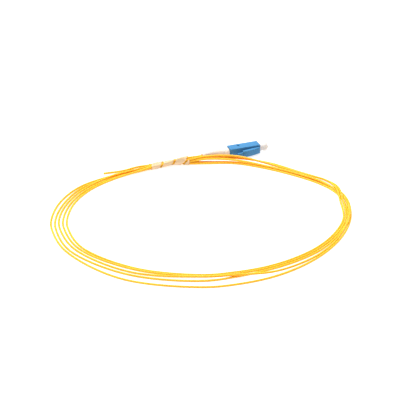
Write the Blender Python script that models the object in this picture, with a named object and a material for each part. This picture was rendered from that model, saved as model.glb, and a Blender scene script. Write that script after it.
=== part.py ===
# Fibre optic pigtail: five loose turns of buffered fibre, tied by a spiral wrap, with a plug on one end.
# All sizes below are in millimetres. The object lies on the plane z = 0.
import math

import bpy
import bmesh
from mathutils import Matrix, Vector

MM = 0.001

# Edges that bend by more than this many degrees stay sharp
SHARP_ANGLE = 40.0
LATCH_SHARP_ANGLE = 20.0

# Fibre and its coil, seen from above. Turns run anticlockwise and angles start at +X.
FIBRE_DIAMETER = 0.9
RING_CENTRE = (0.3, -3.38)
RING_RADIUS = 52.0
FIBRE_STEP = 5.0
STATIONS = (
    122, 135, 150, 165, 180, 190, 210, 240, 270, 285, 300,
    315, 330, 345, 360, 375, 384, 393, 405, 420, 435, 448
)

# For each turn: how far outside the ring it runs at the stations, and its lift off the ground there
TURNS = (
    (
        (-1.05, 0.35, 1.9, 3.0, 3.7, 3.85, 3.25, -0.35, -2.1, -2.6, -1.95,
         -0.7, 1.35, 3.75, 6.45, 7.7, 9.9, 10.3, 7.4, 4.75, 3.7, 1.5),
        (0.65, 0.05, 0, 0, 0, 0, 0, 0, 0, 0, 0,
         0, 0, 0, 0, 0.8, 1.5, 0.95, 0.2, 1.25, 2.6, 2.65),
    ),
    (
        (-0.3, 1.3, 3.05, 4.35, 5.3, 5.45, 4.75, 0.7, -1.0, -1.5, -0.8,
         0.5, 2.5, 4.7, 7.4, 8.7, 10.9, 11.3, 8.4, 6.0, 3.9, 1.7),
        (0, 0, 0, 0, 0, 0, 0, 0, 0, 0, 0,
         0, 0, 0, 0.1, 1.15, 1.4, 0.3, 0, 1.0, 1.65, 1.65),
    ),
    (
        (0.25, 1.85, 4.4, 5.75, 7.0, 7.15, 6.45, 3.3, 0.4, 1.4, 4.1,
         4.7, 5.5, 6.6, 8.8, 10.1, 9.85, 7.9, 5.0, 2.95, 2.1, 0.55),
        (0.9, 0.95, 0, 0, 0, 0, 0, 0, 0.5, 1.0, 0.7,
         0.35, 0.1, 0.3, 0.9, 0.4, 0.45, 1.0, 0.9, 0.9, 1.5, 1.9),
    ),
    (
        (0.75, 2.4, 5.75, 7.1, 8.45, 8.85, 8.75, 5.6, 3.0, 1.1, 0.7,
         1.8, 3.85, 5.65, 8.35, 9.15, 9.0, 7.25, 4.4, 2.45, 1.9, -0.1),
        (0, 0, 0, 0, 0, 0, 0, 0, 0, 0, 0,
         0, 0, 0, 0, 0, 0, 0, 0, 0, 0, 0.1),
    ),
    (
        (1.9, 3.5, 7.15, 9.0, 10.2, 10.5, 10.45, 9.95, 8.1, 7.2, 6.65,
         6.2, 6.45, 7.55, 9.35, 11.1, 11.0, 8.4, 5.4, 3.45, 2.9, 0.9),
        (0, 0, 0, 0, 0, 0, 0, 0, 0, 0, 0,
         0, 0, 0, 0, 0, 0, 0, 0, 0, 0, 0.2),
    ),
)

# The cut end: points after the wrap, as offsets from the ring's back, with their height
TAIL = ((-27.5, -5.3, 1.35), (-34.5, -7.8, 0.55), (-42.1, -9.95, 0.45))

# Spiral wrap and the bundle inside it. The bundle turns a quarter way round inside the wrap.
# The taut steps are the directions, in degrees to each side, that its outline is pulled tight over.
WRAP_START = 96.2
WRAP_END = 115.3
WRAP_OUTSIDE_START = -0.1
WRAP_OUTSIDE_END = 0.1
WRAP_PITCH = 5.6
WRAP_BAND = 4.5
WRAP_WALL = 0.22
WRAP_CLEARANCE = 0.1
WRAP_STEPS = 36
WRAP_PHASE = 112.0
WRAP_LEAST_BAND = 0.4
WRAP_DIVISIONS = 3
WRAP_SPANS = 6
TAUT_STEP = 5.0
TAUT_STEPS = 16
BUNDLE_SPACING = 0.97
BUNDLE_LAYER = 0.85
BUNDLE_TWIST = 90.0
BUNDLE_EASE = 2
BUNDLE_SLOTS = ((-1.25, 0.5), (-0.75, -0.5), (-0.25, 0.5), (0.25, -0.5), (1.25, -0.5), (0.75, 0.5))

# Plug: its rear face centre as an offset from the ring's back, and its heading
PLUG_PLACE = (11.55, 7.45)
PLUG_HEADING = 21.0
HOUSING_WIDTH = 4.5
HOUSING_LENGTH = 13.9
HOUSING_EDGE = 0.12
AXIS_HEIGHT = HOUSING_WIDTH / 2
REAR_BORE = 3.4
REAR_BORE_DEPTH = 9.9
FERRULE_BORE = 1.6
FRONT_BORE = 3.5
FRONT_BORE_DEPTH = 3.0
WINDOW_PLACE = (4.55, 0.45)
WINDOW_SIZE = (0.7, 1.4)
WINDOW_SLANT = 25.0
CUT_REACH = 1.0

# Latch arm: outline as distance ahead of the plug's rear face and distance out from its side
LATCH_OUTER = (
    (13.7, 0.3), (13.5, 0.55), (13.0, 0.9), (12.0, 1.25), (10.2, 1.75), (8.5, 2.15), (6.8, 2.4), (5.1, 2.1)
)
LATCH_INNER = ((5.1, 1.2), (10.0, 0.4), (12.7, 0.2), (13.7, 0.2))
LATCH_TAIL = ((6.6, 2.3), (4.4, 2.35), (2.6, 2.55), (2.6, 1.9), (4.4, 1.65), (6.6, 1.4))
LATCH_WIDTH = 2.9
LATCH_TAIL_WIDTH = 1.7
LATCH_HINGE = (13.2, 0.5)

# Ferrule, its flange, the spring and the back post, as distances ahead of the plug's rear face
FERRULE_DIAMETER = 1.25
FERRULE_START = 7.6
FERRULE_TIP = 15.5
FERRULE_CHAMFER = 0.2
FIT = 0.1
FLANGE_DIAMETER = 2.6
FLANGE_START = 8.5
FLANGE_END = 9.8
FLANGE_TAIL = 1.7
FLANGE_TAIL_START = 5.6
SPRING_WIRE = 0.3
SPRING_DIAMETER = 2.3
SPRING_TURNS = 5
SPRING_STEPS = 14
POST_FRONT = 4.2
POST_REAR = -2.2
POST_REAR_DIAMETER = 2.6
FIBRE_BORE = 1.2
FIBRE_START = 7.2

# Boot: outer diameter at distances behind the plug's rear face, and the line that it bends along
BOOT_GAP = 0.25
BOOT_DIAMETERS = (
    (0.25, 4.0), (0.4, 4.3), (1.4, 4.3), (1.6, 4.0), (4.0, 3.9), (5.2, 3.75),
    (6.5, 3.45), (7.8, 3.1), (9.3, 2.65), (11.0, 2.3), (12.4, 2.05), (12.5, 1.85)
)
BOOT_BORE = 1.2
BOOT_SIDES = 24
BOOT_POINTS = ((-2.6, 0, 0), (-5.0, 0.25, 0.3), (-7.6, 0.45, 0.5), (-10.9, 0.15, 0.55), (-12.9, -0.15, 0.5))
BOOT_SEAT_END = 2.5

# Dust cap: its profile as distance ahead of the plug's rear face and diameter
CAP_OUTSIDE = (
    (10.9, 3.2), (15.6, 3.2), (16.1, 3.35), (16.5, 3.65), (16.9, 3.7), (17.3, 3.55), (17.7, 3.0), (18.0, 2.0)
)
CAP_END = 18.1
CAP_BORE = 1.42
CAP_BORE_END = 15.9


def remove_all():
    for item in list(bpy.data.objects):
        bpy.data.objects.remove(item, do_unlink=True)


def material(name, colour, roughness, metallic=0.0):
    made = bpy.data.materials.new(name)
    made.use_nodes = True
    shader = made.node_tree.nodes["Principled BSDF"]
    shader.inputs["Base Color"].default_value = (*colour, 1.0)
    shader.inputs["Roughness"].default_value = roughness
    shader.inputs["Metallic"].default_value = metallic
    return made


def ring_point(outside, angle, height):
    """A point outside the ring by the given distance."""
    radius = RING_RADIUS + outside
    turned = math.radians(angle)
    return Vector((
        RING_CENTRE[0] + radius * math.cos(turned),
        RING_CENTRE[1] + radius * math.sin(turned),
        height,
    ))


def plug_matrix():
    """From the plug's own axes to the object's: x ahead along the plug, y to its left, z up."""
    place = ring_point(0.0, 90.0, AXIS_HEIGHT) + Vector((*PLUG_PLACE, 0.0))
    return Matrix.Translation(place) @ Matrix.Rotation(math.radians(PLUG_HEADING), 4, "Z")


def wrap_centre(share):
    """Middle of the bundle, which lies on the ground all along the wrap."""
    angle = WRAP_START + (WRAP_END - WRAP_START) * share
    outside = WRAP_OUTSIDE_START + (WRAP_OUTSIDE_END - WRAP_OUTSIDE_START) * share
    lowest = min(bundle_slot(number, share)[1] for number in range(len(BUNDLE_SLOTS)))
    return angle, outside, FIBRE_DIAMETER / 2 + WRAP_CLEARANCE + WRAP_WALL - lowest


def bundle_slot(number, share):
    """Outward and upward place of one pass inside the wrap."""
    outward = BUNDLE_SLOTS[number][0] * BUNDLE_SPACING
    upward = BUNDLE_SLOTS[number][1] * BUNDLE_LAYER
    twist = -math.radians(BUNDLE_TWIST * (1.0 - share) ** BUNDLE_EASE)
    return (
        outward * math.cos(twist) - upward * math.sin(twist),
        outward * math.sin(twist) + upward * math.cos(twist),
    )


def bundle_point(number, share):
    angle, outside, height = wrap_centre(share)
    outward, upward = bundle_slot(number, share)
    return ring_point(outside + outward, angle, height + upward)


def plug_lead():
    """Route of the fibre inside the plug and its boot, from the flange backwards."""
    frame = plug_matrix()
    inside = [Vector((x, 0, 0)) for x in (FIBRE_START, POST_FRONT, 0.0)]
    return [frame @ point for point in inside + [Vector(p) for p in BOOT_POINTS]]


def fibre_route():
    points = plug_lead()
    for number in range(len(TURNS) + 1):
        points += [bundle_point(number, k / WRAP_SPANS) for k in range(WRAP_SPANS + 1)]
        if number < len(TURNS):
            for angle, outside, lift in zip(STATIONS, *TURNS[number]):
                points.append(ring_point(outside, angle, FIBRE_DIAMETER / 2 + lift))
    points += [ring_point(0.0, 90.0, 0.0) + Vector(place) for place in TAIL]
    return points


def fibre_samples(step):
    """The fibre's centre line, kept on or above the ground."""
    samples = smooth_curve(fibre_route(), step)
    for sample in samples:
        sample.z = max(sample.z, FIBRE_DIAMETER / 2)
    return samples


def smooth_curve(points, step):
    """A smooth curve through the points, about one sample every step."""
    ends = [2 * points[0] - points[1]] + list(points) + [2 * points[-1] - points[-2]]
    samples = []
    for before, start, end, after in zip(ends, ends[1:], ends[2:], ends[3:]):
        t0 = math.sqrt((start - before).length)
        t1 = t0 + math.sqrt((end - start).length)
        t2 = t1 + math.sqrt((after - end).length)
        count = max(1, round((end - start).length / step))
        for k in range(count):
            t = t0 + (t1 - t0) * k / count
            a = before.lerp(start, t / t0)
            b = start.lerp(end, (t - t0) / (t1 - t0))
            c = end.lerp(after, (t - t1) / (t2 - t1))
            d = a.lerp(b, t / t1)
            e = b.lerp(c, (t - t0) / (t2 - t0))
            samples.append(d.lerp(e, (t - t0) / (t1 - t0)))
    samples.append(points[-1])
    return samples


def mesh_object(name, mesh, made, sharp=SHARP_ANGLE):
    """Adds a bmesh, drawn in millimetres, as an object."""
    bmesh.ops.scale(mesh, vec=(MM, MM, MM), verts=mesh.verts)
    bmesh.ops.recalc_face_normals(mesh, faces=mesh.faces)
    data = bpy.data.meshes.new(name)
    mesh.to_mesh(data)
    mesh.free()
    data.shade_smooth()
    data.set_sharp_from_angle(angle=math.radians(sharp))
    data.materials.append(made)
    item = bpy.data.objects.new(name, data)
    bpy.context.scene.collection.objects.link(item)
    return item


def place_on_plug(item):
    frame = plug_matrix()
    item.matrix_world = Matrix.Translation(frame.translation * MM) @ frame.to_3x3().to_4x4()
    return item


def turned(name, made, profile, sides=32):
    """A piece turned about the plug's axis. Its profile is a closed loop, or starts and ends on the axis."""
    mesh = bmesh.new()
    rings = []
    for x, radius in profile:
        if radius == 0:
            rings.append([mesh.verts.new((x, 0, 0))])
        else:
            angles = [2 * math.pi * k / sides for k in range(sides)]
            rings.append([mesh.verts.new((x, radius * math.cos(a), radius * math.sin(a))) for a in angles])
    pairs = list(zip(rings, rings[1:]))
    if len(rings[0]) > 1:
        pairs.append((rings[-1], rings[0]))
    for first, second in pairs:
        join_rings(mesh, first, second)
    return place_on_plug(mesh_object(name, mesh, made))


def join_rings(mesh, first, second):
    count = max(len(first), len(second))
    for k in range(count):
        after = (k + 1) % count
        if len(first) == 1:
            mesh.faces.new((first[0], second[after], second[k]))
        elif len(second) == 1:
            mesh.faces.new((first[k], first[after], second[0]))
        else:
            mesh.faces.new((first[k], first[after], second[after], second[k]))


def cutter(name, mesh):
    """A shape that only cuts: it stays out of the finished object."""
    item = mesh_object(name, mesh, material(name, (0.5, 0.5, 0.5), 0.5))
    item.display_type = "WIRE"
    item.hide_render = True
    return place_on_plug(item)


def cylinder_mesh(diameter, start, end, sides=32):
    mesh = bmesh.new()
    middle = Matrix.Translation(((start + end) / 2, 0, 0)) @ Matrix.Rotation(math.pi / 2, 4, "Y")
    bmesh.ops.create_cone(
        mesh,
        cap_ends=True,
        segments=sides,
        radius1=diameter / 2,
        radius2=diameter / 2,
        depth=end - start,
        matrix=middle,
    )
    return mesh


def box_mesh(low, high):
    mesh = bmesh.new()
    size = Vector(high) - Vector(low)
    middle = (Vector(high) + Vector(low)) / 2
    bmesh.ops.create_cube(mesh, size=1.0, matrix=Matrix.Translation(middle) @ Matrix.Diagonal((*size, 1.0)))
    return mesh


def cut(item, tool):
    change = item.modifiers.new(tool.name, "BOOLEAN")
    change.operation = "DIFFERENCE"
    change.solver = "EXACT"
    change.object = tool


def fibre(made):
    data = bpy.data.curves.new("fibre", "CURVE")
    data.dimensions = "3D"
    data.bevel_depth = FIBRE_DIAMETER / 2 * MM
    data.bevel_resolution = 2
    data.use_fill_caps = True
    samples = fibre_samples(FIBRE_STEP)
    spline = data.splines.new("POLY")
    spline.points.add(len(samples) - 1)
    for point, sample in zip(spline.points, samples):
        point.co = (*(sample * MM), 1.0)
    spline.use_smooth = True
    data.materials.append(made)
    item = bpy.data.objects.new("fibre", data)
    bpy.context.scene.collection.objects.link(item)


def wrap_outline(share, direction):
    """Distance from the bundle's middle to a taut outline round its strands."""
    slots = [bundle_slot(number, share) for number in range(len(BUNDLE_SLOTS))]
    nearest = None
    for k in range(-TAUT_STEPS, TAUT_STEPS + 1):
        normal = direction + math.radians(TAUT_STEP * k)
        support = max(u * math.cos(normal) + v * math.sin(normal) for u, v in slots)
        reach = (support + FIBRE_DIAMETER / 2 + WRAP_CLEARANCE) / math.cos(normal - direction)
        nearest = reach if nearest is None else min(nearest, reach)
    return nearest


def wrap_point(distance, length, direction, wall):
    share = distance / length
    angle, outside, height = wrap_centre(share)
    reach = wrap_outline(share, direction) + wall
    lowest = WRAP_WALL - wall
    height = max(lowest, height + reach * math.sin(direction))
    return ring_point(outside + reach * math.cos(direction), angle, height)


def spiral_wrap(made):
    """One helical band, cut square to the bundle at both ends."""
    length = math.radians(WRAP_END - WRAP_START) * RING_RADIUS
    mesh = bmesh.new()
    rings = []
    turns = (length + WRAP_BAND) / WRAP_PITCH
    for k in range(round(turns * WRAP_STEPS) + 1):
        direction = 2 * math.pi * k / WRAP_STEPS + math.radians(WRAP_PHASE)
        middle = WRAP_PITCH * k / WRAP_STEPS - WRAP_BAND / 2
        low = max(0.0, middle - WRAP_BAND / 2)
        high = min(length, middle + WRAP_BAND / 2)
        if high - low < WRAP_LEAST_BAND:
            continue
        across = [low + (high - low) * j / WRAP_DIVISIONS for j in range(WRAP_DIVISIONS + 1)]
        corners = [(x, 0.0) for x in across] + [(x, WRAP_WALL) for x in reversed(across)]
        rings.append([mesh.verts.new(wrap_point(x, length, direction, wall)) for x, wall in corners])
    for first, second in zip(rings, rings[1:]):
        join_rings(mesh, first, second)
    mesh.faces.new(rings[0])
    mesh.faces.new(rings[-1])
    mesh_object("spiral_wrap", mesh, made)


def boot(made):
    """Moulded sleeve round the fibre's first stretch, pushed on the back post."""
    path = fibre_samples(FIBRE_STEP)
    profile = [(distance, diameter / 2) for distance, diameter in BOOT_DIAMETERS]
    seat = POST_REAR_DIAMETER / 2 + FIT
    bored = [distance for distance, diameter in BOOT_DIAMETERS if distance > BOOT_SEAT_END]
    inner = [(distance, BOOT_BORE / 2) for distance in reversed([BOOT_SEAT_END] + bored)]
    inner += [(BOOT_SEAT_END, seat), (BOOT_GAP, seat)]
    mesh = bmesh.new()
    rings = []
    for distance, radius in profile + inner:
        middle, heading = along(path, FIBRE_START + distance)
        side = heading.cross(Vector((0, 0, 1))).normalized()
        up = side.cross(heading)
        ring = []
        for k in range(BOOT_SIDES):
            angle = 2 * math.pi * k / BOOT_SIDES
            ring.append(mesh.verts.new(middle + radius * (side * math.cos(angle) + up * math.sin(angle))))
        rings.append(ring)
    for first, second in zip(rings, rings[1:] + rings[:1]):
        join_rings(mesh, first, second)
    mesh_object("boot", mesh, made)


def along(path, distance):
    """Place and heading at a distance along a sampled path."""
    for first, second in zip(path, path[1:]):
        step = (second - first).length
        if distance <= step:
            return first.lerp(second, distance / step), (second - first).normalized()
        distance -= step
    return path[-1], (path[-1] - path[-2]).normalized()


def connector_housing(made):
    half = HOUSING_WIDTH / 2
    block = box_mesh((0, -half, -half), (HOUSING_LENGTH, half, half))
    item = place_on_plug(mesh_object("connector_housing", block, made))
    edge = item.modifiers.new("edges", "BEVEL")
    edge.width = HOUSING_EDGE * MM
    edge.segments = 1
    edge.limit_method = "ANGLE"
    cut(item, cutter("cut_rear_bore", cylinder_mesh(REAR_BORE, -CUT_REACH, REAR_BORE_DEPTH)))
    narrow = cylinder_mesh(FERRULE_BORE, REAR_BORE_DEPTH - CUT_REACH, HOUSING_LENGTH + CUT_REACH)
    cut(item, cutter("cut_ferrule_bore", narrow))
    front = cylinder_mesh(FRONT_BORE, HOUSING_LENGTH - FRONT_BORE_DEPTH, HOUSING_LENGTH + CUT_REACH)
    cut(item, cutter("cut_front_bore", front))
    length, width = WINDOW_SIZE
    window = box_mesh((-length / 2, -width / 2, 0), (length / 2, width / 2, half))
    turn = Matrix.Rotation(math.radians(WINDOW_SLANT), 4, "Z")
    window.transform(Matrix.Translation((*WINDOW_PLACE, REAR_BORE / 4)) @ turn)
    cut(item, cutter("cut_window", window))


def latch_arm(made):
    """Latch beside the housing, drawn from above and raised to its two widths."""
    pivot = Vector((LATCH_HINGE[0], -HOUSING_WIDTH / 2 - LATCH_HINGE[1], 0))
    item = slab("latch_arm", made, LATCH_OUTER + LATCH_INNER, LATCH_WIDTH, pivot)
    rear = slab("latch_tail", made, LATCH_TAIL, LATCH_TAIL_WIDTH, pivot)
    rear.display_type = "WIRE"
    rear.hide_render = True
    join = item.modifiers.new("tail", "BOOLEAN")
    join.operation = "UNION"
    join.solver = "EXACT"
    join.object = rear


def slab(name, made, outline, width, pivot):
    """An outline beside the housing, raised evenly about the plug's axis, with its origin on the pivot."""
    mesh = bmesh.new()
    side = -HOUSING_WIDTH / 2
    base = mesh.faces.new([mesh.verts.new(Vector((x, side - out, -width / 2)) - pivot) for x, out in outline])
    raised = bmesh.ops.extrude_face_region(mesh, geom=[base])["geom"]
    top = [part for part in raised if isinstance(part, bmesh.types.BMVert)]
    bmesh.ops.translate(mesh, vec=(0, 0, width), verts=top)
    item = place_on_plug(mesh_object(name, mesh, made, sharp=LATCH_SHARP_ANGLE))
    item.matrix_world = item.matrix_world @ Matrix.Translation(pivot * MM)
    return item


def spring(made):
    """Coil spring between the back post and the flange."""
    start = POST_FRONT + FIT + SPRING_WIRE / 2
    end = FLANGE_START - FIT - SPRING_WIRE / 2
    data = bpy.data.curves.new("spring", "CURVE")
    data.dimensions = "3D"
    data.bevel_depth = SPRING_WIRE / 2 * MM
    data.bevel_resolution = 1
    data.use_fill_caps = True
    spline = data.splines.new("POLY")
    count = SPRING_TURNS * SPRING_STEPS
    spline.points.add(count)
    for k, point in enumerate(spline.points):
        angle = 2 * math.pi * k / SPRING_STEPS
        x = start + (end - start) * k / count
        radius = SPRING_DIAMETER / 2
        point.co = (x * MM, radius * math.cos(angle) * MM, radius * math.sin(angle) * MM, 1.0)
    data.materials.append(made)
    item = bpy.data.objects.new("spring", data)
    bpy.context.scene.collection.objects.link(item)
    place_on_plug(item)


def ferrule(made):
    radius = FERRULE_DIAMETER / 2
    profile = (
        (FERRULE_START, 0),
        (FERRULE_START, radius),
        (FERRULE_TIP - FERRULE_CHAMFER, radius),
        (FERRULE_TIP, radius - FERRULE_CHAMFER),
        (FERRULE_TIP, 0),
    )
    turned("ferrule", made, profile)


def ferrule_flange(made):
    holds = FERRULE_DIAMETER / 2 + FIT
    profile = (
        (FLANGE_TAIL_START, FIBRE_BORE / 2),
        (FLANGE_TAIL_START, FLANGE_TAIL / 2),
        (FLANGE_START, FLANGE_TAIL / 2),
        (FLANGE_START, FLANGE_DIAMETER / 2),
        (FLANGE_END, FLANGE_DIAMETER / 2),
        (FLANGE_END, holds),
        (FERRULE_START - FIT, holds),
        (FERRULE_START - FIT, FIBRE_BORE / 2),
    )
    turned("ferrule_flange", made, profile)


def back_post(made):
    front = REAR_BORE / 2 - FIT
    profile = (
        (POST_REAR, FIBRE_BORE / 2),
        (POST_REAR, POST_REAR_DIAMETER / 2),
        (-BOOT_GAP / 2, POST_REAR_DIAMETER / 2),
        (-BOOT_GAP / 2, front),
        (POST_FRONT, front),
        (POST_FRONT, FIBRE_BORE / 2),
    )
    turned("back_post", made, profile)


def dust_cap(made):
    profile = [(CAP_BORE_END, 0), (CAP_BORE_END, CAP_BORE / 2), (CAP_OUTSIDE[0][0], CAP_BORE / 2)]
    profile += [(distance, diameter / 2) for distance, diameter in CAP_OUTSIDE]
    profile.append((CAP_END, 0))
    turned("dust_cap", made, profile)


def main():
    remove_all()
    fibre(material("fibre_buffer", (0.95, 0.62, 0.09), 0.35))
    spiral_wrap(material("wrap_plastic", (0.9, 0.8, 0.68), 0.35))
    connector_housing(material("housing_plastic", (0.05, 0.25, 0.6), 0.35))
    latch_arm(material("latch_plastic", (0.05, 0.25, 0.6), 0.35))
    ferrule(material("ferrule_ceramic", (0.92, 0.92, 0.9), 0.15))
    ferrule_flange(material("flange_metal", (0.66, 0.65, 0.62), 0.3, 1.0))
    spring(material("spring_steel", (0.6, 0.6, 0.6), 0.3, 1.0))
    back_post(material("post_metal", (0.66, 0.65, 0.62), 0.3, 1.0))
    boot(material("boot_rubber", (0.88, 0.86, 0.82), 0.5))
    dust_cap(material("cap_plastic", (0.88, 0.85, 0.82), 0.4))


main()
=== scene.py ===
import math

import bpy
import bmesh
from mathutils import Matrix, Vector


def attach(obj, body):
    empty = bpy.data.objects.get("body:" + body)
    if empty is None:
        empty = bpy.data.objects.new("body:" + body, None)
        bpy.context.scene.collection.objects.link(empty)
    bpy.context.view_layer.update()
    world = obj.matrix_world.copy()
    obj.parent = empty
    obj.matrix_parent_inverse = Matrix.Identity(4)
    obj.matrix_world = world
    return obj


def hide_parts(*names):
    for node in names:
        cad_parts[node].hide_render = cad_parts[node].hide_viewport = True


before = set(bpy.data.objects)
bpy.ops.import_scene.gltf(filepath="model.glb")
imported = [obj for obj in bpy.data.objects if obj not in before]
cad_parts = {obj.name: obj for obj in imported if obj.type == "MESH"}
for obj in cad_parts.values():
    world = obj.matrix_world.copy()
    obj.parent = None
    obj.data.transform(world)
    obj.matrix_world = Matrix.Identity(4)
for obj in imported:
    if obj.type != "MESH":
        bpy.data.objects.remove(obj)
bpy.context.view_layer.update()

MM = 0.001

# Camera: the picture's middle on the ground, and the view's tilt and distance
AIM = (-0.6, 14.12, 0.0)
CAMERA_TILT = 26.5
CAMERA_DISTANCE = 1100.0
CAMERA_LENS = 236.0
SENSOR = 36.0
# How far the camera sees, in metres
CAMERA_REACH = 10.0

# Light: strength of the white surroundings, of the large lamp overhead and of the floor's glow
WHITE = (1.0, 1.0, 1.0, 1.0)
WORLD_LIGHT = 0.5
LAMP_POWER = 26.0
LAMP_PLACE = (-250, 200, 1200)
# Side of the square lamp, in metres
LAMP_SIZE = 1.2
FLOOR_GLOW = 0.75
# The floor reaches this far from the middle on each side
FLOOR_REACH = 1500.0
FLOOR_COLOUR = (0.45, 0.45, 0.45)
FLOOR_ROUGHNESS = 0.9

# Surfaces: detail of the noise, where its darker and lighter colours start, and the relief's depth in metres
BROAD_DETAIL = 3.0
FINE_DETAIL = 4.0
DARKER_AT = 0.3
LIGHTER_AT = 0.7
RELIEF_DEPTH = 0.00002
NICKEL = (0.66, 0.64, 0.60)
STEEL = (0.6, 0.6, 0.6)

# Shading turns sharp where two faces meet at more than this angle, in degrees
SHARP_ANGLE = 35.0
LATCH_SHARP_ANGLE = 50.0

# The fibre's route, as in the part's source
FIBRE_DIAMETER = 0.9
# Blender's bevel resolution for the fibre's outline, and the length of a step along it
FIBRE_ROUNDNESS = 4
FIBRE_STEP = 1.5
RING_CENTRE = (0.3, -3.38)
RING_RADIUS = 52.0
# Places round the ring are in degrees
RING_BACK = 90.0
STATIONS = (
    122, 135, 150, 165, 180, 190, 210, 240, 270, 285, 300,
    315, 330, 345, 360, 375, 384, 393, 405, 420, 435, 448
)

# For each turn: how far outside the ring it runs at the stations, and its lift off the ground there
TURNS = (
    (
        (-1.05, 0.35, 1.9, 3.0, 3.7, 3.85, 3.25, -0.35, -2.1, -2.6, -1.95,
         -0.7, 1.35, 3.75, 6.45, 7.7, 9.9, 10.3, 7.4, 4.75, 3.7, 1.5),
        (0.65, 0.05, 0, 0, 0, 0, 0, 0, 0, 0, 0,
         0, 0, 0, 0, 0.8, 1.5, 0.95, 0.2, 1.25, 2.6, 2.65),
    ),
    (
        (-0.3, 1.3, 3.05, 4.35, 5.3, 5.45, 4.75, 0.7, -1.0, -1.5, -0.8,
         0.5, 2.5, 4.7, 7.4, 8.7, 10.9, 11.3, 8.4, 6.0, 3.9, 1.7),
        (0, 0, 0, 0, 0, 0, 0, 0, 0, 0, 0,
         0, 0, 0, 0.1, 1.15, 1.4, 0.3, 0, 1.0, 1.65, 1.65),
    ),
    (
        (0.25, 1.85, 4.4, 5.75, 7.0, 7.15, 6.45, 3.3, 0.4, 1.4, 4.1,
         4.7, 5.5, 6.6, 8.8, 10.1, 9.85, 7.9, 5.0, 2.95, 2.1, 0.55),
        (0.9, 0.95, 0, 0, 0, 0, 0, 0, 0.5, 1.0, 0.7,
         0.35, 0.1, 0.3, 0.9, 0.4, 0.45, 1.0, 0.9, 0.9, 1.5, 1.9),
    ),
    (
        (0.75, 2.4, 5.75, 7.1, 8.45, 8.85, 8.75, 5.6, 3.0, 1.1, 0.7,
         1.8, 3.85, 5.65, 8.35, 9.15, 9.0, 7.25, 4.4, 2.45, 1.9, -0.1),
        (0, 0, 0, 0, 0, 0, 0, 0, 0, 0, 0,
         0, 0, 0, 0, 0, 0, 0, 0, 0, 0, 0.1),
    ),
    (
        (1.9, 3.5, 7.15, 9.0, 10.2, 10.5, 10.45, 9.95, 8.1, 7.2, 6.65,
         6.2, 6.45, 7.55, 9.35, 11.1, 11.0, 8.4, 5.4, 3.45, 2.9, 0.9),
        (0, 0, 0, 0, 0, 0, 0, 0, 0, 0, 0,
         0, 0, 0, 0, 0, 0, 0, 0, 0, 0, 0.2),
    ),
)

# The cut end: points after the wrap, as offsets from the ring's back, with their height
TAIL = ((-27.5, -5.3, 1.35), (-34.5, -7.8, 0.55), (-42.1, -9.95, 0.45))

# Wrap: its ends in degrees round the ring, and how far outside the ring its middle lies at each
WRAP_START = 96.2
WRAP_END = 115.3
WRAP_OUTSIDE_START = -0.1
WRAP_OUTSIDE_END = 0.1
# The band's advance in one turn, its width, its wall, and the direction in degrees in which it starts
WRAP_PITCH = 5.6
WRAP_BAND = 4.5
WRAP_WALL = 0.22
WRAP_PHASE = 112.0
# Room between the strands and the band, and the spans into which the route is split inside the wrap
WRAP_CLEARANCE = 0.1
WRAP_SPANS = 6
# The band's mesh: steps in a turn and across the band, the narrowest width drawn, and the bevel of its edges
WRAP_TURN_STEPS = 72
WRAP_ACROSS = 12
WRAP_NARROWEST = 0.4
WRAP_EDGE = 0.06
# The taut outline round the strands is found in steps of this many degrees, this many to each side
TAUT_STEP = 5.0
TAUT_STEPS = 16

# Bundle: distance between strands side by side, height of a layer, and the six passes' places in these
BUNDLE_SPACING = 0.97
BUNDLE_LAYER = 0.85
BUNDLE_SLOTS = ((-1.25, 0.5), (-0.75, -0.5), (-0.25, 0.5), (0.25, -0.5), (1.25, -0.5), (0.75, 0.5))
# Degrees by which the bundle is turned at the wrap's start, and the power by which the turn eases off
BUNDLE_TWIST = 90.0
BUNDLE_EASE = 2

# Plug: its rear face's middle from the ring's back, its heading, and then distances ahead of the rear face
PLUG_PLACE = (11.55, 7.45)
PLUG_HEADING = 21.0
HOUSING_WIDTH = 4.5
HOUSING_LENGTH = 13.9
AXIS_HEIGHT = HOUSING_WIDTH / 2
FIBRE_START = 7.2
POST_FRONT = 4.2
FERRULE_BORE = 1.6
REAR_BORE = 3.4
REAR_BORE_DEPTH = 9.9
FRONT_BORE = 3.5
FRONT_BORE_DEPTH = 3.0
HOUSING_CORNER = 0.22
CORNER_STEPS = 6
SIDE_STEPS = 12
# The near lower corner grows rounder from here to the front, up to this radius and by this power
ROUNDING_START = 11.4
ROUNDING_RADIUS = 1.9
ROUNDING_POWER = 1.5
# Place ahead and distance inside the full square
HOUSING_RINGS = (
    (0.0, 0.16), (0.04, 0.06), (0.14, 0.0), (0.95, 0.0), (1.0, 0.05), (1.15, 0.05), (1.2, 0.0), (11.4, 0.0),
    (11.9, 0.0), (12.4, 0.0), (12.9, 0.0), (13.35, 0.0), (13.74, 0.0), (13.84, 0.05), (13.9, 0.16)
)
WINDOW_PLACE = (4.55, 0.45)
WINDOW_SIZE = (0.7, 1.4)
WINDOW_SLANT = 25.0
WINDOW_CORNER = 0.15
WINDOW_CORNER_STEPS = 4

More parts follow.
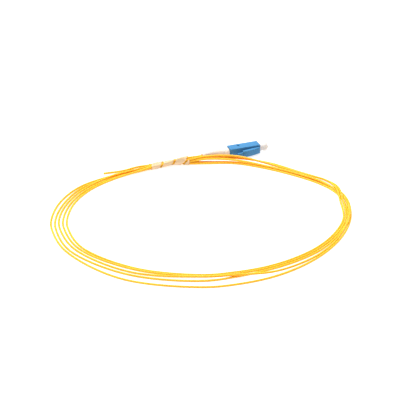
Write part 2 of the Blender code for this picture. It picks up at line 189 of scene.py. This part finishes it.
# Latch arm: place ahead, inner and outer distance from the housing's side, half width
LATCH_RINGS = (
    (13.70, 0.24, 0.30, 1.25), (13.66, 0.20, 0.42, 1.36), (13.50, 0.20, 0.60, 1.43),
    (13.10, 0.20, 0.86, 1.45), (12.60, 0.20, 1.07, 1.45), (11.70, 0.27, 1.36, 1.45),
    (10.40, 0.37, 1.72, 1.45), (9.00, 0.56, 2.05, 1.45), (7.70, 0.78, 2.29, 1.45),
    (6.90, 0.90, 2.39, 1.45), (6.40, 0.99, 2.38, 1.45), (5.70, 1.10, 2.26, 1.45),
    (5.20, 1.19, 2.12, 1.43), (5.10, 1.26, 2.08, 1.36), (5.04, 1.60, 2.06, 0.90),
    (4.90, 1.63, 2.36, 0.85), (4.40, 1.66, 2.38, 0.85), (3.60, 1.78, 2.46, 0.84),
    (2.80, 1.88, 2.53, 0.82), (2.64, 1.92, 2.52, 0.78), (2.60, 2.00, 2.45, 0.70)
)
# The corners' radius, which gets smaller where the arm is too thin to hold it this many times
LATCH_CORNER = 0.18
LATCH_CORNER_FIT = 2.2

# Boot: outer diameter at distances behind the plug's rear face
BOOT_DIAMETERS = (
    (0.25, 4.0), (0.29, 4.18), (0.4, 4.3), (1.38, 4.3), (1.5, 4.22), (1.56, 4.02), (2.6, 3.98), (4.0, 3.9),
    (5.2, 3.75), (6.5, 3.45), (7.8, 3.1), (9.3, 2.65), (11.0, 2.3), (12.2, 2.08), (12.42, 2.0), (12.5, 1.84)
)
BOOT_BORE = 1.2
# The wider seat on the back post: its diameter, and where it ends
BOOT_SEAT = 2.8
BOOT_SEAT_END = 2.5
BOOT_SIDES = 64
# The fibre's route through the boot, from the plug's rear face: ahead, left and up
BOOT_POINTS = ((-2.6, 0, 0), (-5.0, 0.25, 0.3), (-7.6, 0.45, 0.5), (-10.9, 0.15, 0.55), (-12.9, -0.15, 0.5))
# The cord leaves the boot this far behind the plug's rear face
CORD_EXIT = 12.6

# Dust cap: distance ahead of the plug's rear face and diameter, from its bore's end round to its tip
CAP_PROFILE = (
    (15.9, 0.0), (15.9, 1.42), (10.9, 1.42), (10.9, 3.0), (10.98, 3.16), (11.1, 3.2), (15.4, 3.2),
    (15.7, 3.22), (15.95, 3.29), (16.15, 3.42), (16.32, 3.58), (16.5, 3.67), (16.75, 3.7), (17.0, 3.68),
    (17.25, 3.58), (17.5, 3.36), (17.72, 3.0), (17.88, 2.5), (18.0, 1.8), (18.07, 1.0), (18.1, 0.0)
)
CAP_SIDES = 64


def ring_point(outside, angle, height):
    """A point outside the ring by the given distance."""
    radius = RING_RADIUS + outside
    turned = math.radians(angle)
    return Vector((
        RING_CENTRE[0] + radius * math.cos(turned),
        RING_CENTRE[1] + radius * math.sin(turned),
        height,
    ))


def plug_matrix():
    """From the plug's own axes to the object's: x ahead along the plug, y to its left, z up."""
    place = ring_point(0.0, RING_BACK, AXIS_HEIGHT) + Vector((*PLUG_PLACE, 0.0))
    return Matrix.Translation(place) @ Matrix.Rotation(math.radians(PLUG_HEADING), 4, "Z")


def bundle_slot(number, share):
    """Outward and upward place of one pass inside the wrap."""
    outward = BUNDLE_SLOTS[number][0] * BUNDLE_SPACING
    upward = BUNDLE_SLOTS[number][1] * BUNDLE_LAYER
    twist = -math.radians(BUNDLE_TWIST * (1.0 - share) ** BUNDLE_EASE)
    return (
        outward * math.cos(twist) - upward * math.sin(twist),
        outward * math.sin(twist) + upward * math.cos(twist),
    )


def wrap_centre(share):
    """Middle of the bundle, which lies on the ground all along the wrap."""
    angle = WRAP_START + (WRAP_END - WRAP_START) * share
    outside = WRAP_OUTSIDE_START + (WRAP_OUTSIDE_END - WRAP_OUTSIDE_START) * share
    lowest = min(bundle_slot(number, share)[1] for number in range(len(BUNDLE_SLOTS)))
    return angle, outside, FIBRE_DIAMETER / 2 + WRAP_CLEARANCE + WRAP_WALL - lowest


def bundle_point(number, share):
    """Place of one pass inside the wrap, at a share of the wrap's length."""
    angle, outside, height = wrap_centre(share)
    outward, upward = bundle_slot(number, share)
    return ring_point(outside + outward, angle, height + upward)


def plug_lead():
    """Route of the fibre inside the plug and its boot."""
    place = plug_matrix()
    inside = [Vector((x, 0, 0)) for x in (FIBRE_START, POST_FRONT, 0.0)]
    return [place @ point for point in inside + [Vector(p) for p in BOOT_POINTS]]


def fibre_route():
    """The points through which the fibre runs, from inside the plug to the cut end."""
    points = plug_lead()
    for number in range(len(TURNS) + 1):
        points += [bundle_point(number, k / WRAP_SPANS) for k in range(WRAP_SPANS + 1)]
        if number < len(TURNS):
            for angle, outside, lift in zip(STATIONS, *TURNS[number]):
                points.append(ring_point(outside, angle, FIBRE_DIAMETER / 2 + lift))
    points += [ring_point(0.0, RING_BACK, 0.0) + Vector(place) for place in TAIL]
    return points


def fibre_samples():
    """The fibre's centre line, which is never lower than the ground allows."""
    samples = smooth_curve(fibre_route(), FIBRE_STEP)
    for sample in samples:
        sample.z = max(sample.z, FIBRE_DIAMETER / 2)
    return samples


def smooth_curve(points, step):
    """A smooth curve through the points, sampled about every step, without loops where spacing is uneven."""
    ends = [2 * points[0] - points[1]] + list(points) + [2 * points[-1] - points[-2]]
    samples = []
    for before, start, end, after in zip(ends, ends[1:], ends[2:], ends[3:]):
        t0 = math.sqrt((start - before).length)
        t1 = t0 + math.sqrt((end - start).length)
        t2 = t1 + math.sqrt((after - end).length)
        count = max(1, round((end - start).length / step))
        for k in range(count):
            t = t0 + (t1 - t0) * k / count
            a = before.lerp(start, t / t0)
            b = start.lerp(end, (t - t0) / (t1 - t0))
            c = end.lerp(after, (t - t1) / (t2 - t1))
            d = a.lerp(b, t / t1)
            e = b.lerp(c, (t - t0) / (t2 - t0))
            samples.append(d.lerp(e, (t - t0) / (t1 - t0)))
    samples.append(points[-1])
    return samples


def along(path, distance):
    """Place and heading at a distance along a sampled path."""
    for first, second in zip(path, path[1:]):
        step = (second - first).length
        if distance <= step:
            return first.lerp(second, distance / step), (second - first).normalized()
        distance -= step
    return path[-1], (path[-1] - path[-2]).normalized()


def camera():
    data = bpy.data.cameras.new("camera")
    data.lens = CAMERA_LENS
    data.sensor_width = SENSOR
    data.clip_end = CAMERA_REACH
    item = bpy.data.objects.new("camera", data)
    tilt = math.radians(CAMERA_TILT)
    back = Vector((0, -math.cos(tilt), math.sin(tilt))) * CAMERA_DISTANCE
    item.location = (Vector(AIM) + back) * MM
    item.rotation_euler = (math.pi / 2 - tilt, 0, 0)
    bpy.context.scene.collection.objects.link(item)
    bpy.context.scene.camera = item


def plain_material(name, colour, roughness, metallic=0.0):
    material = bpy.data.materials.new(name)
    material.use_nodes = True
    shader = material.node_tree.nodes["Principled BSDF"]
    shader.inputs["Base Color"].default_value = (*colour, 1.0)
    shader.inputs["Roughness"].default_value = roughness
    shader.inputs["Metallic"].default_value = metallic
    return material, shader


def inner_glow(shader, weight, radius):
    """Light that enters the surface and comes out again nearby, with its reach in metres."""
    shader.inputs["Subsurface Weight"].default_value = weight
    shader.inputs["Subsurface Radius"].default_value = radius
    shader.inputs["Subsurface Scale"].default_value = 1.0


def varied_material(name, colour, roughness, spread, scale, rough_spread, bump, bump_scale, metallic=0.0):
    """A material whose colour, roughness and bump vary by noise over the surface."""
    material, shader = plain_material(name, colour, roughness, metallic)
    nodes = material.node_tree.nodes
    links = material.node_tree.links
    place = nodes.new("ShaderNodeTexCoord")
    broad = nodes.new("ShaderNodeTexNoise")
    broad.inputs["Scale"].default_value = scale
    broad.inputs["Detail"].default_value = BROAD_DETAIL
    links.new(place.outputs["Object"], broad.inputs["Vector"])
    ramp = nodes.new("ShaderNodeValToRGB")
    low = tuple(c * (1.0 - spread) for c in colour)
    high = tuple(min(1.0, c * (1.0 + spread)) for c in colour)
    ramp.color_ramp.elements[0].position = DARKER_AT
    ramp.color_ramp.elements[1].position = LIGHTER_AT
    ramp.color_ramp.elements[0].color = (*low, 1.0)
    ramp.color_ramp.elements[1].color = (*high, 1.0)
    links.new(broad.outputs["Fac"], ramp.inputs["Fac"])
    links.new(ramp.outputs["Color"], shader.inputs["Base Color"])
    fine = nodes.new("ShaderNodeTexNoise")
    fine.inputs["Scale"].default_value = bump_scale
    fine.inputs["Detail"].default_value = FINE_DETAIL
    links.new(place.outputs["Object"], fine.inputs["Vector"])
    gloss = nodes.new("ShaderNodeMapRange")
    gloss.inputs["To Min"].default_value = roughness - rough_spread
    gloss.inputs["To Max"].default_value = roughness + rough_spread
    links.new(fine.outputs["Fac"], gloss.inputs["Value"])
    links.new(gloss.outputs["Result"], shader.inputs["Roughness"])
    relief = nodes.new("ShaderNodeBump")
    relief.inputs["Strength"].default_value = bump
    relief.inputs["Distance"].default_value = RELIEF_DEPTH
    links.new(fine.outputs["Fac"], relief.inputs["Height"])
    links.new(relief.outputs["Normal"], shader.inputs["Normal"])
    return material, shader


def yellow_buffer():
    material, shader = varied_material(
        "yellow_buffer", (0.98, 0.48, 0.03), roughness=0.45,
        spread=0.04, scale=120.0, rough_spread=0.04, bump=0.06, bump_scale=2500.0,
    )
    shader.inputs["Specular IOR Level"].default_value = 0.2
    inner_glow(shader, 0.6, (0.0012, 0.0008, 0.0003))
    return material


def blue_plastic(name):
    material, shader = varied_material(
        name, (0.064, 0.235, 0.46), roughness=0.4,
        spread=0.05, scale=300.0, rough_spread=0.06, bump=0.25, bump_scale=6000.0,
    )
    shader.inputs["Specular IOR Level"].default_value = 0.15
    return material


def white_rubber():
    material, shader = varied_material(
        "white_rubber", (0.72, 0.65, 0.58), roughness=0.5,
        spread=0.03, scale=250.0, rough_spread=0.08, bump=0.3, bump_scale=5000.0,
    )
    inner_glow(shader, 0.2, (0.001, 0.0008, 0.0006))
    return material


def cap_white():
    material, shader = varied_material(
        "cap_white", (0.70, 0.65, 0.61), roughness=0.4,
        spread=0.03, scale=250.0, rough_spread=0.06, bump=0.2, bump_scale=5000.0,
    )
    inner_glow(shader, 0.3, (0.001, 0.0008, 0.0006))
    return material


def milky_plastic():
    material, shader = varied_material(
        "milky_plastic", (1.0, 0.62, 0.35), roughness=0.35,
        spread=0.03, scale=250.0, rough_spread=0.06, bump=0.12, bump_scale=3000.0,
    )
    shader.inputs["Transmission Weight"].default_value = 0.15
    shader.inputs["IOR"].default_value = 1.45
    inner_glow(shader, 0.4, (0.0012, 0.0009, 0.0006))
    return material


def ceramic():
    material, shader = varied_material(
        "zirconia", (0.92, 0.92, 0.88), roughness=0.12,
        spread=0.02, scale=500.0, rough_spread=0.04, bump=0.05, bump_scale=8000.0,
    )
    inner_glow(shader, 0.2, (0.0004, 0.0004, 0.0003))
    return material


def metal(name, colour, roughness):
    return varied_material(
        name, colour, roughness=roughness, metallic=1.0,
        spread=0.05, scale=600.0, rough_spread=0.08, bump=0.2, bump_scale=8000.0,
    )[0]


def new_object(name, mesh, material, sharp=SHARP_ANGLE):
    """An object in metres from a mesh in millimetres, with its faces turned outwards."""
    bmesh.ops.recalc_face_normals(mesh, faces=mesh.faces)
    bmesh.ops.scale(mesh, vec=(MM, MM, MM), verts=mesh.verts)
    data = bpy.data.meshes.new(name)
    mesh.to_mesh(data)
    mesh.free()
    data.shade_smooth()
    data.set_sharp_from_angle(angle=math.radians(sharp))
    data.materials.append(material)
    item = bpy.data.objects.new(name, data)
    bpy.context.scene.collection.objects.link(item)
    return item


def place_on_plug(item):
    """Moves a piece from the plug's own axes to its place in the object."""
    place = plug_matrix()
    item.matrix_world = Matrix.Translation(place.translation * MM) @ place.to_3x3().to_4x4()
    return item


def join_rings(mesh, rings):
    """Faces between each ring of points and the next."""
    for first, second in zip(rings, rings[1:]):
        count = len(first)
        for k in range(count):
            after = (k + 1) % count
            mesh.faces.new((first[k], first[after], second[after], second[k]))


def fibre_piece():
    data = bpy.data.curves.new("yellow_fibre", "CURVE")
    data.dimensions = "3D"
    data.bevel_depth = FIBRE_DIAMETER / 2 * MM
    data.bevel_resolution = FIBRE_ROUNDNESS
    data.use_fill_caps = True
    samples = fibre_samples()
    spline = data.splines.new("POLY")
    spline.points.add(len(samples) - 1)
    for point, sample in zip(spline.points, samples):
        point.co = (*(sample * MM), 1.0)
    spline.use_smooth = True
    data.materials.append(yellow_buffer())
    item = bpy.data.objects.new("yellow_fibre", data)
    bpy.context.scene.collection.objects.link(item)
    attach(item, "pigtail")
    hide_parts("fibre")
    length = sum((b - a).length for a, b in zip(samples, samples[1:]))
    return item, samples, length


def wrap_outline(share, direction):
    """Distance from the bundle's middle to a taut outline round its strands."""
    slots = [bundle_slot(number, share) for number in range(len(BUNDLE_SLOTS))]
    nearest = None
    for k in range(-TAUT_STEPS, TAUT_STEPS + 1):
        normal = direction + math.radians(TAUT_STEP * k)
        support = max(u * math.cos(normal) + v * math.sin(normal) for u, v in slots)
        reach = (support + FIBRE_DIAMETER / 2 + WRAP_CLEARANCE) / math.cos(normal - direction)
        nearest = reach if nearest is None else min(nearest, reach)
    return nearest


def wrap_piece():
    """A band wound round the bundle, cut off square where the wrap ends."""
    length = math.radians(WRAP_END - WRAP_START) * RING_RADIUS
    mesh = bmesh.new()
    rings = []
    turns = (length + WRAP_BAND) / WRAP_PITCH
    for k in range(round(turns * WRAP_TURN_STEPS) + 1):
        direction = 2 * math.pi * k / WRAP_TURN_STEPS + math.radians(WRAP_PHASE)
        middle = WRAP_PITCH * k / WRAP_TURN_STEPS - WRAP_BAND / 2
        low = max(0.0, middle - WRAP_BAND / 2)
        high = min(length, middle + WRAP_BAND / 2)
        if high - low < WRAP_NARROWEST:
            continue
        flat = high - low - 2 * WRAP_EDGE
        places = [low + WRAP_EDGE + flat * j / WRAP_ACROSS for j in range(WRAP_ACROSS + 1)]
        ring = [(low, WRAP_WALL - WRAP_EDGE)]
        ring += [(x, WRAP_WALL) for x in places]
        ring += [(high, WRAP_WALL - WRAP_EDGE), (high, WRAP_EDGE)]
        ring += [(x, 0.0) for x in reversed(places)]
        ring.append((low, WRAP_EDGE))
        points = []
        for x, wall in ring:
            share = x / length
            angle, outside, height = wrap_centre(share)
            reach = wrap_outline(share, direction) + wall
            height = max(WRAP_WALL - wall, height + reach * math.sin(direction))
            place = ring_point(outside + reach * math.cos(direction), angle, height)
            points.append(mesh.verts.new(place))
        rings.append(points)
    join_rings(mesh, rings)
    mesh.faces.new(rings[0])
    mesh.faces.new(rings[-1])
    item = new_object("milky_wrap", mesh, milky_plastic())
    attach(item, "pigtail")
    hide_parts("spiral_wrap")
    return item


def square_ring(mesh, x, half, corner, near):
    """A ring round a rounded square, across the plug at x. Its near lower corner has its own radius."""
    arcs = []
    for quarter, (left, up) in enumerate(((1, 1), (-1, 1), (-1, -1), (1, -1))):
        radius = near if (left, up) == (-1, -1) else corner
        arc = []
        for k in range(CORNER_STEPS + 1):
            angle = math.radians(90.0 * (quarter + k / CORNER_STEPS))
            y = left * (half - radius) + radius * math.cos(angle)
            z = up * (half - radius) + radius * math.sin(angle)
            arc.append(Vector((x, y, z)))
        arcs.append(arc)
    ring = []
    for arc, after in zip(arcs, arcs[1:] + arcs[:1]):
        ring += arc
        ring += [arc[-1].lerp(after[0], k / SIDE_STEPS) for k in range(1, SIDE_STEPS)]
    return [mesh.verts.new(place) for place in ring]


def near_corner(x):
    """Radius of the near lower corner, which grows rounder towards the plug's front."""
    share = max(0.0, (x - ROUNDING_START) / (HOUSING_LENGTH - ROUNDING_START))
    return HOUSING_CORNER + (ROUNDING_RADIUS - HOUSING_CORNER) * share ** ROUNDING_POWER


def round_ring(mesh, x, diameter, square):
    """A round ring at x, each point in line with one of a square ring's points."""
    ring = []
    for vert in square:
        reach = Vector((0.0, vert.co.y, vert.co.z)).normalized() * diameter / 2
        ring.append(mesh.verts.new((x, reach.y, reach.z)))
    return ring


def housing_piece(material):
    """The plug's body, whose rings run along its outside and back through its bores."""
    mesh = bmesh.new()
    rings = [
        square_ring(mesh, x, HOUSING_WIDTH / 2 - inset, HOUSING_CORNER, near_corner(x))
        for x, inset in HOUSING_RINGS
    ]
    bores = (
        (HOUSING_LENGTH, FRONT_BORE),
        (HOUSING_LENGTH - FRONT_BORE_DEPTH, FRONT_BORE),
        (HOUSING_LENGTH - FRONT_BORE_DEPTH, FERRULE_BORE),
        (REAR_BORE_DEPTH, FERRULE_BORE),
        (REAR_BORE_DEPTH, REAR_BORE),
        (0.0, REAR_BORE),
    )
    rings += [round_ring(mesh, x, diameter, rings[0]) for x, diameter in bores]
    join_rings(mesh, rings + rings[:1])
    item = place_on_plug(new_object("blue_housing", mesh, material))
    window_cut(item)
    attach(item, "pigtail")
    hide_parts("connector_housing")


def window_cut(item):
    """Cuts the small slanted slot through the housing's top."""
    mesh = bmesh.new()
    bmesh.ops.create_cube(mesh, size=1.0)
    bmesh.ops.scale(mesh, vec=(*WINDOW_SIZE, HOUSING_WIDTH / 2), verts=mesh.verts)
    upright = [edge for edge in mesh.edges if edge.verts[0].co.z != edge.verts[1].co.z]
    bmesh.ops.bevel(
        mesh,
        geom=upright,
        offset=WINDOW_CORNER,
        segments=WINDOW_CORNER_STEPS,
        affect="EDGES",
        profile=0.5,
    )
    turn = Matrix.Rotation(math.radians(WINDOW_SLANT), 4, "Z")
    mesh.transform(Matrix.Translation((*WINDOW_PLACE, HOUSING_WIDTH / 2)) @ turn)
    tool = place_on_plug(new_object("cut_window", mesh, item.data.materials[0]))
    hole = item.modifiers.new("window", "BOOLEAN")
    hole.operation = "DIFFERENCE"
    hole.solver = "EXACT"
    hole.object = tool
    bpy.context.view_layer.update()
    data = bpy.data.meshes.new_from_object(item.evaluated_get(bpy.context.evaluated_depsgraph_get()))
    item.modifiers.clear()
    item.data = data
    data.shade_smooth()
    data.set_sharp_from_angle(angle=math.radians(SHARP_ANGLE))
    bpy.data.objects.remove(tool)


def latch_ring(mesh, x, inner, outer, half):
    """A rounded rectangle between two distances from the housing's side, across the arm at x."""
    corner = min(LATCH_CORNER, (outer - inner) / LATCH_CORNER_FIT)
    side = -HOUSING_WIDTH / 2
    ring = []
    corners = ((inner + corner, 1), (outer - corner, 1), (outer - corner, -1), (inner + corner, -1))
    for quarter, (out, up) in enumerate(corners):
        for k in range(CORNER_STEPS + 1):
            angle = math.radians(90.0 * (quarter - 1 + k / CORNER_STEPS))
            reach = out + corner * math.sin(angle)
            z = up * (half - corner) + corner * math.cos(angle)
            ring.append(mesh.verts.new((x, side - reach, z)))
    return ring


def latch_piece(material):
    mesh = bmesh.new()
    rings = [latch_ring(mesh, *ring) for ring in LATCH_RINGS]
    join_rings(mesh, rings)
    mesh.faces.new(rings[0])
    mesh.faces.new(rings[-1])
    item = place_on_plug(new_object("blue_latch", mesh, material, sharp=LATCH_SHARP_ANGLE))
    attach(item, "latch")
    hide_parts("latch_arm")


def boot_piece(material, samples):
    """A tapered sleeve round the fibre behind the plug, with a wider seat on the back post."""
    mesh = bmesh.new()
    profile = [(x, diameter / 2) for x, diameter in BOOT_DIAMETERS]
    profile += [(x, BOOT_BORE / 2) for x, diameter in reversed(BOOT_DIAMETERS) if x > BOOT_SEAT_END]
    profile += [(BOOT_SEAT_END, BOOT_BORE / 2), (BOOT_SEAT_END, BOOT_SEAT / 2)]
    profile.append((BOOT_DIAMETERS[0][0], BOOT_SEAT / 2))
    rings = []
    for distance, radius in profile:
        middle, heading = along(samples, FIBRE_START + distance)
        side = heading.cross(Vector((0, 0, 1))).normalized()
        up = side.cross(heading)
        ring = []
        for k in range(BOOT_SIDES):
            angle = 2 * math.pi * k / BOOT_SIDES
            ring.append(mesh.verts.new(middle + radius * (math.cos(angle) * side + math.sin(angle) * up)))
        rings.append(ring)
    join_rings(mesh, rings + rings[:1])
    item = new_object("white_boot", mesh, material)
    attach(item, "pigtail")
    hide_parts("boot")


def cap_piece(material):
    """The dust cap, turned round the plug's axis."""
    mesh = bmesh.new()
    rings = []
    for x, diameter in CAP_PROFILE[1:-1]:
        ring = []
        for k in range(CAP_SIDES):
            angle = 2 * math.pi * k / CAP_SIDES
            ring.append(mesh.verts.new((x, math.cos(angle) * diameter / 2, math.sin(angle) * diameter / 2)))
        rings.append(ring)
    join_rings(mesh, rings)
    for ring, x in ((rings[0], CAP_PROFILE[0][0]), (rings[-1], CAP_PROFILE[-1][0])):
        tip = mesh.verts.new((x, 0.0, 0.0))
        for k in range(CAP_SIDES):
            mesh.faces.new((ring[k], ring[(k + 1) % CAP_SIDES], tip))
    item = place_on_plug(new_object("white_cap", mesh, material))
    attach(item, "cap")
    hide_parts("dust_cap")


def dress(node, material):
    """Gives a solid of the CAD model its material."""
    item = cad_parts[node]
    item.data.materials.clear()
    item.data.materials.append(material)


def floor_and_light():
    mesh = bmesh.new()
    bmesh.ops.create_grid(mesh, x_segments=1, y_segments=1, size=FLOOR_REACH)
    material, shader = plain_material("pale_floor", FLOOR_COLOUR, FLOOR_ROUGHNESS)
    shader.inputs["Emission Color"].default_value = WHITE
    shader.inputs["Emission Strength"].default_value = FLOOR_GLOW
    item = new_object("floor", mesh, material)
    world = bpy.data.worlds.new("studio")
    world.use_nodes = True
    background = world.node_tree.nodes["Background"]
    background.inputs["Color"].default_value = WHITE
    background.inputs["Strength"].default_value = WORLD_LIGHT
    bpy.context.scene.world = world
    bpy.context.scene.view_settings.view_transform = "Standard"
    lamp()


def lamp():
    """A large lamp that shines on the middle of the object."""
    data = bpy.data.lights.new("lamp", "AREA")
    data.size = LAMP_SIZE
    data.energy = LAMP_POWER
    item = bpy.data.objects.new("lamp", data)
    place = Vector(LAMP_PLACE)
    item.location = place * MM
    item.rotation_euler = (-place).to_track_quat("-Z", "Y").to_euler()
    bpy.context.scene.collection.objects.link(item)


def main():
    camera()
    fibre, samples, length = fibre_piece()
    wrap = wrap_piece()
    boot_end = along(samples, FIBRE_START + CORD_EXIT)[0]
    housing_piece(blue_plastic("blue_housing"))
    latch_piece(blue_plastic("blue_latch"))
    boot_piece(white_rubber(), samples)
    cap_piece(cap_white())
    dress("ferrule", ceramic())
    dress("ferrule_flange", metal("nickel_flange", NICKEL, roughness=0.3))
    dress("back_post", metal("nickel_post", NICKEL, roughness=0.35))
    dress("spring", metal("spring_wire", STEEL, roughness=0.25))
    floor_and_light()


main()
